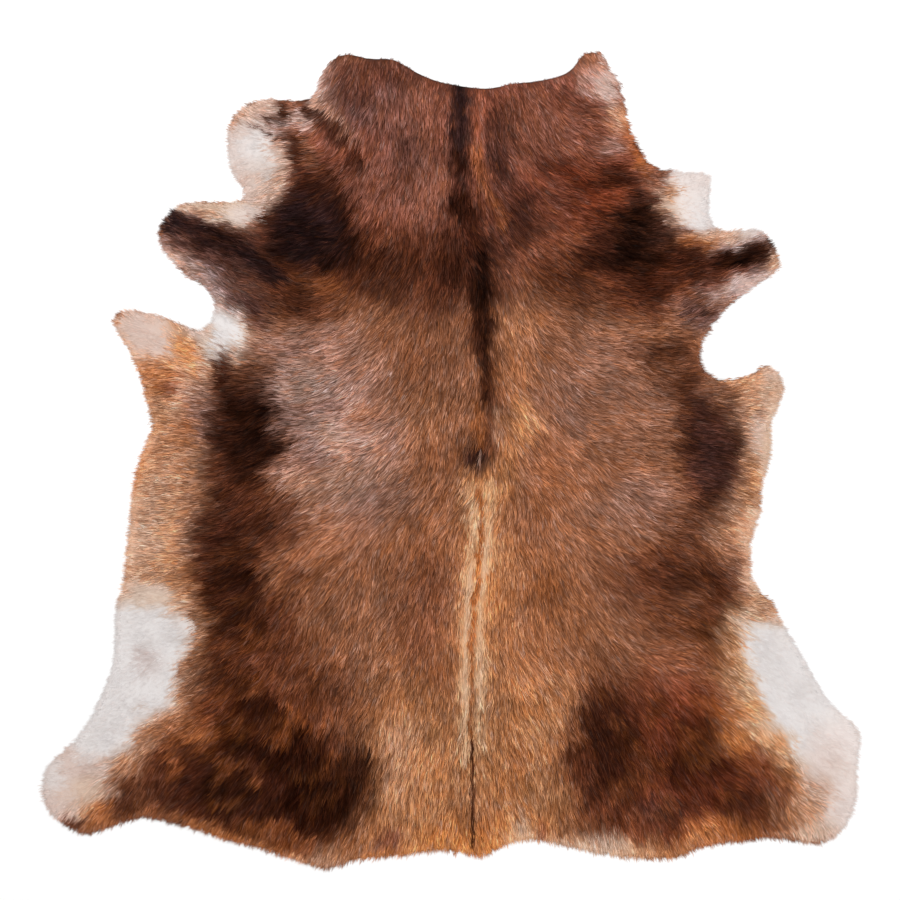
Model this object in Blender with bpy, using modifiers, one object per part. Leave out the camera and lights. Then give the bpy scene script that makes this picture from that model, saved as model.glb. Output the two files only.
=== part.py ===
# Cowhide rug: one whole natural hide lying flat on the floor, hair side up.
# Metres, +Z up. +Y runs along the spine to the neck and +X to the hide's right as seen from above.
# The origin is on the floor, under the middle of the bounding box.

import math
import random
from bisect import bisect_right
from collections import namedtuple

import bpy
from mathutils import Vector
from mathutils import kdtree
from mathutils import noise
from mathutils.geometry import delaunay_2d_cdt
from mathutils.geometry import interpolate_bezier

HIDE = "cowhide"
COLLECTION = "cowhide_rug"

# Driving dimensions, in millimetres.
OVERALL_LENGTH = 2000     # neck corner to the lowest tuft of the rump
OVERALL_WIDTH = 2000      # one hind foot to the other
COAT_HEIGHT = 11.0        # skin and the hair lying on it, over most of the back
NOTCH_HEIGHT = 4.5        # the same at the root of a rim tuft
SHOULDER_HEIGHT = 3.4     # half way along a rim tuft
TIP_HEIGHT = 1.6          # at the tip of a rim tuft
LEAST_HEIGHT = 3.0        # the coat is nowhere thinner than this inside the rim
EDGE_WIDTH = 70.0         # the coat thins towards the rim over this width
LUMP_SIZE = 130.0         # across one soft lump of the coat
LUMP_HEIGHT = 2.4         # how far a lump rises or falls

# Spacing of the sheet's points, in millimetres.
OUTLINE_STEP = 4.0
FIRST_RING = (22.0, 28.0)     # distance in from the rim, distance along it
SECOND_RING = (48.0, 45.0)
FIELD_INSET = 75.0            # the even field of points starts this far in
FIELD_STEP = 62.0
CREASE_STEP = 38.0            # along a fold or a parting
LEAST_GAP = 16.0              # no two points inside the rim are nearer than this

SEED = 11
METRES = 0.001                # one millimetre, in metres

HIDE_COLOUR = (0.205, 0.080, 0.035, 1.0)
HIDE_ROUGHNESS = 0.75

# The rim, clockwise from the left corner of the neck, in millimetres from the middle of the hide.
# tuft_width and tuft_length are those of its hair tufts. lean is how far a tip is carried along
# the rim by the lie of the hair, as a share of its length, and is positive clockwise.
Rim = namedtuple("Rim", "name tuft_width tuft_length lean points")
RIM = (
    Rim("neck", 34, 4, 0.0, (
        (-350, 880), (-335, 890), (-320, 935), (-295, 975), (-260, 995), (-220, 990),
        (-195, 980), (-155, 985), (-130, 980), (-65, 940), (5, 920), (85, 910),
        (120, 915), (145, 925), (180, 925), (280, 945), (300, 965), (320, 995), (345, 1000))),
    Rim("right cheek", 27, 13, 0.35, (
        (365, 1000), (395, 960), (415, 930), (425, 890), (445, 805), (465, 765), (485, 730))),
    Rim("right breast flap", 30, 5, 0.0, (
        (520, 715), (570, 705), (630, 700), (635, 675), (630, 635), (635, 585), (660, 562))),
    Rim("right foreleg", 26, 9, 0.2, (
        (700, 565), (735, 572), (760, 565), (780, 543), (800, 510), (806, 475), (780, 450),
        (710, 400), (660, 355), (633, 317))),
    Rim("right flank", 28, 13, 0.3, (
        (615, 282), (615, 240), (630, 215), (660, 205), (695, 207), (727, 219), (750, 235),
        (775, 240), (797, 222), (815, 190), (811, 153), (795, 120), (784, 95), (786, 45),
        (781, 5), (769, -40), (757, -127), (736, -202), (736, -245), (743, -292), (767, -320),
        (795, -346))),
    Rim("right thigh", 32, 6, 0.3, (
        (804, -382), (830, -421), (857, -472), (923, -582), (960, -619), (986, -641))),
    Rim("right hind foot", 27, 10, 0.2, (
        (1000, -670), (995, -726), (989, -833), (972, -879), (944, -911), (908, -933),
        (865, -933), (780, -921), (735, -928))),
    Rim("right rump", 26, 16, -0.3, (
        (645, -937), (613, -945), (552, -974), (516, -976), (431, -972), (385, -967),
        (331, -954), (238, -935), (192, -929), (153, -933), (97, -962))),
    Rim("left rump", 26, 16, 0.3, (
        (65, -969), (30, -960), (-15, -955), (-126, -967), (-229, -979), (-298, -1000),
        (-327, -995), (-368, -979), (-446, -957), (-587, -916), (-680, -886))),
    Rim("left hind foot", 27, 10, 0.0, (
        (-725, -877), (-750, -871), (-782, -879), (-888, -913), (-916, -904), (-945, -889),
        (-972, -864), (-993, -838), (-1000, -804), (-999, -770), (-991, -743))),
    Rim("left thigh", 32, 6, -0.2, (
        (-964, -716), (-930, -689), (-903, -658), (-874, -611), (-833, -516), (-823, -470),
        (-818, -363))),
    Rim("left flank", 28, 13, -0.2, (
        (-813, -334), (-803, -282), (-788, -144), (-782, -73), (-772, -17), (-755, 29),
        (-742, 56), (-735, 95), (-743, 132), (-765, 214), (-803, 290))),
    Rim("left flank flap", 30, 5, 0.0, (
        (-827, 343), (-813, 363), (-796, 372), (-750, 368), (-701, 355), (-613, 320))),
    Rim("left foreleg", 26, 9, -0.2, (
        (-592, 336), (-580, 365), (-584, 394), (-604, 424), (-640, 443), (-699, 504),
        (-713, 531), (-718, 562), (-701, 592), (-680, 616), (-655, 631))),
    Rim("left cheek", 30, 5, 0.0, (
        (-608, 635), (-511, 635), (-504, 653), (-516, 674), (-536, 704), (-543, 740),
        (-548, 782), (-543, 816), (-526, 848), (-492, 874), (-456, 884), (-377, 880))),
)

# Where the hide as a whole stands off the floor in a soft fold. lift is at the crest.
Fold = namedtuple("Fold", "name path half_width lift")
FOLDS = (
    Fold("behind the left foreleg", ((-650, 340), (-575, 302), (-495, 262)), 36, 8.0),
    Fold("left corner of the neck", ((-322, 872), (-272, 832), (-215, 790)), 38, 7.0),
    Fold("left cheek", ((-470, 812), (-425, 800), (-372, 790)), 30, 6.0),
    Fold("right corner of the neck", ((330, 930), (345, 880), (350, 820)), 38, 6.0),
    Fold("right thigh", ((585, -485), (670, -590), (745, -690)), 48, 7.0),
    Fold("left thigh", ((-575, -590), (-655, -700), (-730, -795)), 48, 6.0),
    Fold("behind the right foreleg", ((520, 250), (580, 262), (640, 210)), 36, 6.0),
)

# Where the coat alone parts and lies lower. depth is in the middle of the parting.
Parting = namedtuple("Parting", "name path half_width depth")
PARTINGS = (
    Parting("spine", ((72, -80), (70, -150), (63, -290), (56, -400), (54, -600), (54, -780),
                      (50, -900)), 24, 4.0),
)

# Where the coat is longer or shorter than over the back.
Zone = namedtuple("Zone", "name x y radius_x radius_y rise")
ZONES = (
    Zone("neck", 30, 760, 330, 170, 1.5),
    Zone("rump", 0, -820, 620, 140, 3.0),
    Zone("left belly", -720, -480, 130, 220, -4.5),
    Zone("right belly", 830, -520, 130, 190, -4.5),
    Zone("right breast flap", 570, 620, 90, 90, -4.0),
    Zone("left cheek", -460, 740, 90, 110, -4.0),
    Zone("left flank flap", -720, 300, 110, 70, -3.0),
    Zone("left foot", -920, -790, 110, 110, -3.0),
    Zone("right foot", 930, -790, 110, 120, -3.0),
    Zone("left flank", -500, -60, 110, 330, 1.5),
    Zone("right flank", 560, -60, 110, 300, 1.5),
)


def clear_scene():
    # Start from a scene with nothing in it.
    for item in list(bpy.data.objects):
        bpy.data.objects.remove(item, do_unlink=True)


def soft_step(value):
    # 0 up to value 0, 1 from value 1 on, and a smooth climb between.
    value = min(max(value, 0.0), 1.0)
    return value * value * (3.0 - 2.0 * value)


def outline_samples():
    # The smooth closed outline, as (place, rim stretch) pairs a few millimetres apart.
    corners = [(Vector(point), stretch) for stretch in RIM for point in stretch.points]
    count = len(corners)
    samples = []
    for index, (start, stretch) in enumerate(corners):
        before = corners[index - 1][0]
        end = corners[(index + 1) % count][0]
        after = corners[(index + 2) % count][0]
        reach = (end - start).length / 3.0
        handle_out = start + (end - before).normalized() * reach
        handle_in = end - (after - start).normalized() * reach
        steps = max(2, round(3.0 * reach / OUTLINE_STEP))
        places = interpolate_bezier(start, handle_out, handle_in, end, steps + 1)
        samples += [(place.to_2d(), stretch) for place in places[:-1]]
    return samples


class Outline:
    # The outline as a walk: any distance along it gives a place, a way in and a rim stretch.

    def __init__(self, samples):
        self.places = [place for place, stretch in samples]
        self.stretches = [stretch for place, stretch in samples]
        self.marks = [0.0]
        for index, place in enumerate(self.places):
            following = self.places[(index + 1) % len(self.places)]
            self.marks.append(self.marks[-1] + (following - place).length)
        self.length = self.marks[-1]
        self.tree = kdtree.KDTree(len(self.places))
        for index, place in enumerate(self.places):
            self.tree.insert(place.to_3d(), index)
        self.tree.balance()

    def index_at(self, distance):
        return min(bisect_right(self.marks, distance % self.length) - 1, len(self.places) - 1)

    def place_at(self, distance):
        index = self.index_at(distance)
        start = self.places[index]
        end = self.places[(index + 1) % len(self.places)]
        share = (distance % self.length - self.marks[index]) / (end - start).length
        return start.lerp(end, share)

    def inward_at(self, distance):
        # The rim is walked clockwise, so the hide lies to the right.
        ahead = self.place_at(distance + 2.0 * OUTLINE_STEP)
        behind = self.place_at(distance - 2.0 * OUTLINE_STEP)
        along = (ahead - behind).normalized()
        return Vector((along.y, -along.x))

    def stretch_at(self, distance):
        return self.stretches[self.index_at(distance)]

    def clearance(self, place):
        # Distance in from the outline, negative outside it.
        nearest, index, distance = self.tree.find(place.to_3d())
        inward = self.inward_at(self.marks[index])
        return math.copysign(distance, (place - nearest.to_2d()).dot(inward))


def tuft_rim(outline, chance):
    # Lay one tuft of hair after another round the outline, as (place, height) pairs: the notch
    # before it, its two shoulders and the tip between them, on or just short of the outline.
    rim = []
    distance = 0.0
    while True:
        stretch = outline.stretch_at(distance)
        width = stretch.tuft_width * chance.uniform(0.65, 1.4)
        if distance + 0.6 * stretch.tuft_width > outline.length:
            return rim
        width = min(width, outline.length - distance)
        length = stretch.tuft_length * chance.uniform(0.7, 1.25)
        tip = chance.uniform(0.42, 0.58) * width + stretch.lean * length
        for along, depth, height in (
            (0.0, length, NOTCH_HEIGHT),
            (0.45 * tip, chance.uniform(0.4, 0.6) * length, SHOULDER_HEIGHT),
            (tip, chance.uniform(0.0, 0.25) * length, TIP_HEIGHT),
            (0.5 * (tip + width), chance.uniform(0.4, 0.6) * length, SHOULDER_HEIGHT),
        ):
            spot = distance + along
            rim.append((outline.place_at(spot) + outline.inward_at(spot) * depth, height))
        distance += width


def path_places(path, step):
    # Evenly spaced (place, direction) pairs along an open run of points.
    for start, end in zip(path[:-1], path[1:]):
        start = Vector(start)
        end = Vector(end)
        steps = max(1, round((end - start).length / step))
        for index in range(steps):
            yield start.lerp(end, index / steps), (end - start).normalized()


def path_distance(place, path):
    # The distance from a place to an open run of points.
    nearest = math.inf
    for start, end in zip(path[:-1], path[1:]):
        start = Vector(start)
        span = Vector(end) - start
        share = min(max((place - start).dot(span) / span.length_squared, 0.0), 1.0)
        nearest = min(nearest, (place - start - span * share).length)
    return nearest


def inner_points(outline):
    # The points of the sheet inside its rim: along folds and partings, on two rings that follow
    # the rim, and on an even field of triangles over the rest.
    places = []

    def add(place, least_clearance):
        if outline.clearance(place) < least_clearance:
            return
        if all((place - other).length > LEAST_GAP for other in places):
            places.append(place)

    for crease in FOLDS + PARTINGS:
        for place, along in path_places(crease.path, CREASE_STEP):
            across = Vector((-along.y, along.x)) * crease.half_width
            for side in (0.0, -1.0, 1.0):
                add(place + across * side, FIRST_RING[0])
    for inset, spacing in (FIRST_RING, SECOND_RING):
        count = round(outline.length / spacing)
        for index in range(count):
            distance = outline.length * index / count
            add(outline.place_at(distance) + outline.inward_at(distance) * inset, 0.9 * inset)
    rows = round(0.5 * OVERALL_LENGTH / (FIELD_STEP * math.sin(math.radians(60))))
    columns = round(0.5 * OVERALL_WIDTH / FIELD_STEP)
    for row in range(-rows, rows + 1):
        shift = 0.5 * (row % 2)
        for column in range(-columns, columns + 1):
            x = (column + shift) * FIELD_STEP
            y = row * FIELD_STEP * math.sin(math.radians(60))
            add(Vector((x, y)), FIELD_INSET)
    return places


def lift_at(place):
    # How far the underside stands off the floor.
    lift = 0.0
    for fold in FOLDS:
        away = path_distance(place, fold.path) / (1.6 * fold.half_width)
        lift = max(lift, fold.lift * (1.0 - soft_step(away)))
    return lift


def coat_at(place, clearance):
    # Height of the hair's top over the underside, inside the rim.
    height = COAT_HEIGHT
    for zone in ZONES:
        across = (place.x - zone.x) / zone.radius_x
        up = (place.y - zone.y) / zone.radius_y
        height += zone.rise * (1.0 - soft_step(0.5 * math.hypot(across, up)))
    height += LUMP_HEIGHT * noise.noise((place / LUMP_SIZE).to_3d())
    for parting in PARTINGS:
        away = path_distance(place, parting.path) / parting.half_width
        height -= parting.depth * (1.0 - soft_step(away))
    fall = soft_step(clearance / EDGE_WIDTH)
    return max(NOTCH_HEIGHT + (height - NOTCH_HEIGHT) * fall, LEAST_HEIGHT)


def fit_to_size(points):
    # Move and scale the points so that their box has the overall size, its middle at the origin.
    low = [min(point[axis] for point in points) for axis in (0, 1)]
    high = [max(point[axis] for point in points) for axis in (0, 1)]
    middle = [0.5 * (high[axis] + low[axis]) for axis in (0, 1)]
    scale = [size / (high[axis] - low[axis])
             for axis, size in enumerate((OVERALL_WIDTH, OVERALL_LENGTH))]
    return [Vector([(point[axis] - middle[axis]) * scale[axis] for axis in (0, 1)])
            for point in points]


def hide_material():
    material = bpy.data.materials.new("natural hair on hide")
    material.use_nodes = True
    shader = material.node_tree.nodes["Principled BSDF"]
    shader.inputs["Base Color"].default_value = HIDE_COLOUR
    shader.inputs["Roughness"].default_value = HIDE_ROUGHNESS
    shader.inputs["Metallic"].default_value = 0.0
    return material


def underside(outline):
    # The open sheet that lies on the floor: its mesh, and the coat's height over each point.
    rim = tuft_rim(outline, random.Random(SEED))
    inside = inner_points(outline)
    places = fit_to_size([place for place, height in rim] + inside)
    heights = [height for place, height in rim]
    heights += [coat_at(place, outline.clearance(place)) for place in inside]
    lifts = [lift_at(place) for place in places]
    rim_loop = list(range(len(rim)))[::-1]
    triangles_inside = 1
    points, edges, faces, from_point, from_edge, from_face = delaunay_2d_cdt(
        places, [], [rim_loop], triangles_inside, 1e-3)
    sources = [origins[0] for origins in from_point]
    mesh = bpy.data.meshes.new(HIDE)
    corners = [Vector((point.x, point.y, lifts[source])) * METRES
               for point, source in zip(points, sources)]
    mesh.from_pydata(corners, [], faces)
    return mesh, [heights[source] for source in sources]


def cowhide(collection):
    # The hide: the underside's sheet, thickened upwards by the height of skin and coat.
    mesh, heights = underside(Outline(outline_samples()))
    hide = bpy.data.objects.new(HIDE, mesh)
    collection.objects.link(hide)
    tallest = max(heights)
    coat = hide.vertex_groups.new(name="coat height")
    for index, height in enumerate(heights):
        coat.add([index], height / tallest, "REPLACE")
    thicken = hide.modifiers.new("skin and coat", "SOLIDIFY")
    thicken.thickness = tallest * METRES
    thicken.offset = 1.0
    thicken.vertex_group = coat.name
    mesh.materials.append(hide_material())
    mesh.shade_smooth()
    return hide


def main():
    clear_scene()
    collection = bpy.data.collections.new(COLLECTION)
    bpy.context.scene.collection.children.link(collection)
    cowhide(collection)


main()
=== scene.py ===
import math
import bmesh
import bpy
import numpy as np
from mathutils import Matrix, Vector
from mathutils.bvhtree import BVHTree
from mathutils.geometry import delaunay_2d_cdt
from mathutils.kdtree import KDTree


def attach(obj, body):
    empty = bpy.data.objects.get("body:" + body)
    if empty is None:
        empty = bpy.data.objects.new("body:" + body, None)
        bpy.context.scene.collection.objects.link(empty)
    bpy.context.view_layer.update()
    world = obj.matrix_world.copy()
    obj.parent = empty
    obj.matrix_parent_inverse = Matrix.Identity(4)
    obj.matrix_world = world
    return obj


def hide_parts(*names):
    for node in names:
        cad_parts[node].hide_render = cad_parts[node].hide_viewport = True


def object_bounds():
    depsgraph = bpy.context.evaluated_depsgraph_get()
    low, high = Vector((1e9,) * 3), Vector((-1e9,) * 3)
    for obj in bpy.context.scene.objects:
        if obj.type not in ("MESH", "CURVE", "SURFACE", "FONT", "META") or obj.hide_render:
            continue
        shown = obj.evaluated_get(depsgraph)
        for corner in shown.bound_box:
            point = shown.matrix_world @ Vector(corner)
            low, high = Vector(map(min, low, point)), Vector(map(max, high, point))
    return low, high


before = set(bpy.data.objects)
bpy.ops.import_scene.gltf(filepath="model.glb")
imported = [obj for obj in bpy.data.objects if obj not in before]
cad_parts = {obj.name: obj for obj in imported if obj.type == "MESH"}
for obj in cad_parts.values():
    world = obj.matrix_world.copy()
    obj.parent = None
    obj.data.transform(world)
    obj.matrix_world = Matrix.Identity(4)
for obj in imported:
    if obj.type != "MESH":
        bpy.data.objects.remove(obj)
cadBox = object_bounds()

# The photo looks straight down, so a place read off it is a place on the rug
photoGuide = {"mmPerPixel": 2.435, "originX": 450.9, "originY": 461.0, "frameWidth": 900}

# Each noise has its own seed, so that every run grows the same coat
noiseCells = 256
noiseSeeds = {"wander": 3, "fray": 5, "swirl": 21, "ripple": 22, "lump": 31, "streak": 61, "slip": 63,
              "fleck": 64, "fleckZone": 66, "lighter": 71, "redder": 81, "ember": 91}


def toPhoto(x, y):
    scale = photoGuide["mmPerPixel"] / 1000
    return x / scale + photoGuide["originX"], photoGuide["originY"] - y / scale


def hexParts(hexText):
    return np.array([int(hexText[i:i + 2], 16) / 255 for i in (1, 3, 5)])


def toLinear(colour):
    # sRGB, from 0 to 1, to linear light
    return np.where(colour <= 0.04045, colour / 12.92, ((colour + 0.055) / 1.055) ** 2.4)


def linearColour(hexText):
    return toLinear(hexParts(hexText))


def brightness(colour):
    # how light a linear colour looks to the eye
    return colour @ np.array([0.21, 0.72, 0.07])


def softStep(low, high, value):
    share = np.clip((value - low) / (high - low), 0, 1)
    return share * share * (3 - 2 * share)


def valueNoise(x, y, scale, name, number=0):
    # smooth random values from -1 to 1, with one new value each scale
    x, y = x / scale, y / scale
    lattice = np.random.default_rng(noiseSeeds[name] + number).uniform(-1, 1, (noiseCells, noiseCells))
    left, low = np.floor(x).astype(int), np.floor(y).astype(int)
    across, along = x - left, y - low
    across, along = across * across * (3 - 2 * across), along * along * (3 - 2 * along)
    right, high = (left + 1) % noiseCells, (low + 1) % noiseCells
    left, low = left % noiseCells, low % noiseCells
    near = lattice[low, left] * (1 - across) + lattice[low, right] * across
    far = lattice[high, left] * (1 - across) + lattice[high, right] * across
    return near * (1 - along) + far * along


def addNode(tree, kind, settings=None, inputs=None, links=None):
    # settings are the node's own, inputs are socket values, links are (output socket, own socket)
    node = tree.nodes.new(kind)
    for name, value in (settings or {}).items():
        setattr(node, name, value)
    for name, value in (inputs or {}).items():
        node.inputs[name].default_value = value
    for source, name in (links or []):
        tree.links.new(source, node.inputs[name])
    return node


def newMaterial(name):
    material = bpy.data.materials.new(name)
    material.use_nodes = True
    tree = material.node_tree
    tree.nodes.clear()
    return material, tree


def addObject(name, data):
    thing = bpy.data.objects.new(name, data)
    bpy.context.scene.collection.objects.link(thing)
    return thing


def addPiece(name, mesh, material):
    mesh.materials.append(material)
    piece = addObject(name, mesh)
    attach(piece, "root")
    return piece


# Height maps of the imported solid: its top, its underside and how far each place is from the rim.
# The odd offsets keep the rays off the solid's own corners and edges
heightMap = {"step": 0.004, "margin": 0.032, "offsets": (0.00037, 0.00053), "rayFrom": 0.1, "rimRounds": 12}


def facesDown(face):
    return face.normal.z < -0.5


def readSolid(node):
    solid = bmesh.new()
    solid.from_mesh(node.data)
    bmesh.ops.remove_doubles(solid, verts=solid.verts, dist=1e-6)
    solid.normal_update()
    tree = BVHTree.FromBMesh(solid)
    step, margin, rayFrom = heightMap["step"], heightMap["margin"], heightMap["rayFrom"]
    xs, ys = [np.arange(cadBox[0][axis] - margin + offset, cadBox[1][axis] + margin, step)
              for axis, offset in enumerate(heightMap["offsets"])]
    top, under, reach = np.zeros((3, len(ys), len(xs)))
    rimEdges = [edge for edge in solid.edges if sum(facesDown(face) for face in edge.link_faces) == 1]
    rimTree = KDTree(2 * len(rimEdges))
    for i, edge in enumerate(rimEdges):
        start, end = [vert.co.xy.to_3d() for vert in edge.verts]
        rimTree.insert(start, 2 * i)
        rimTree.insert((start + end) / 2, 2 * i + 1)
    rimTree.balance()
    down, up = Vector((0, 0, -1)), Vector((0, 0, 1))
    for row, y in enumerate(ys):
        for column, x in enumerate(xs):
            hit = tree.ray_cast(Vector((x, y, rayFrom)), down)[0]
            away = rimTree.find((x, y, 0))[2]
            reach[row, column] = -away if hit is None else away
            if hit is not None:
                top[row, column] = hit.z
                low = tree.ray_cast(Vector((x, y, -rayFrom)), up)[0]
                under[row, column] = low.z if low is not None else 0
    outY, outX = np.gradient(-reach, step)
    # the same distances with the rim's tufts smoothed away, for the strands that fringe it
    rim = reach
    for turn in range(heightMap["rimRounds"]):
        for axis in (0, 1):
            rim = (np.roll(rim, 1, axis) + 2 * rim + np.roll(rim, -1, axis)) / 4
    return {"mesh": solid, "left": xs[0], "low": ys[0], "top": top, "under": under,
            "reach": reach, "rim": rim, "outX": outX, "outY": outY}


def readMap(solid, name, x, y):
    grid = solid[name]
    across = np.clip((x - solid["left"]) / heightMap["step"], 0, grid.shape[1] - 1.001)
    along = np.clip((y - solid["low"]) / heightMap["step"], 0, grid.shape[0] - 1.001)
    column, row = across.astype(int), along.astype(int)
    across, along = across - column, along - row
    near = grid[row, column] * (1 - across) + grid[row, column + 1] * across
    far = grid[row + 1, column] * (1 - across) + grid[row + 1, column + 1] * across
    return near * (1 - along) + far * along


def wayOut(solid, x, y):
    return readMap(solid, "outX", x, y), readMap(solid, "outY", x, y)


def gridPlaces(spacing):
    gridX, gridY = np.meshgrid(*[np.arange(cadBox[0][axis], cadBox[1][axis], spacing) for axis in (0, 1)])
    return gridX.ravel(), gridY.ravel()


# The coat's colours, as they lie on the rug. x, y and radii are in the photo's pixels, read off it
coatColours = {
    "warmBrown": "#88563b", "lightBrown": "#a06846", "golden": "#b1774c", "sheenAshBrown": "#a0786a",
    "sheenAshPale": "#b59889", "redBrown": "#784434", "roseBrown": "#83503e", "rust": "#642c1a",
    "umber": "#4c2718", "darkBrown": "#33170e", "nearBlack": "#170a06", "purpleBrown": "#3e2521",
    "purpleGrey": "#6c4f49", "ginger": "#9d592d", "orange": "#bf753e", "tan": "#bd8f72",
    "cream": "#d4b8a2", "paleCream": "#e4d8d3", "greyWhite": "#ddd7d5", "pinkPale": "#d0bab0",
    "pinkGrey": "#b39b94", "pinkBrown": "#9d786b", "fawn": "#a98671", "paleGold": "#d2a67f",
    "warmCream": "#e0bd9e", "inkBrown": "#1f1314", "rustBlack": "#260e06",
}
baseColour = "warmBrown"

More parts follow.
